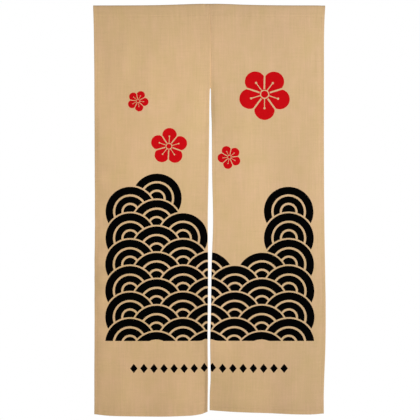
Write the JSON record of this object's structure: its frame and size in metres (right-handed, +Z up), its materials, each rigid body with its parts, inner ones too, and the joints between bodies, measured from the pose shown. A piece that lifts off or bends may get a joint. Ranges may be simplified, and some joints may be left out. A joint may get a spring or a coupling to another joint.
{
  "type": "noren curtain",
  "caption": "Doorway curtain of two sewn cloth panels with a slit between them and a rod pocket along the top.",
  "frame": {"origin": "middle of the top edge, where the centre seam meets the top fold", "axes": "+Z up along the hanging cloth, +X to the right seen from the front, -Y towards the viewer"},
  "size_m": [0.8482, 0.0205, 1.505],
  "materials": {
    "linen": "matt plain-woven tan cotton and linen, printed in black and red",
    "thread": "matt brown cotton sewing thread, a shade darker than the cloth"
  },
  "bodies": {
    "root": {"heading": "linen", "panel_left": "linen", "panel_right": "linen"}
  },
  "joints": []
}
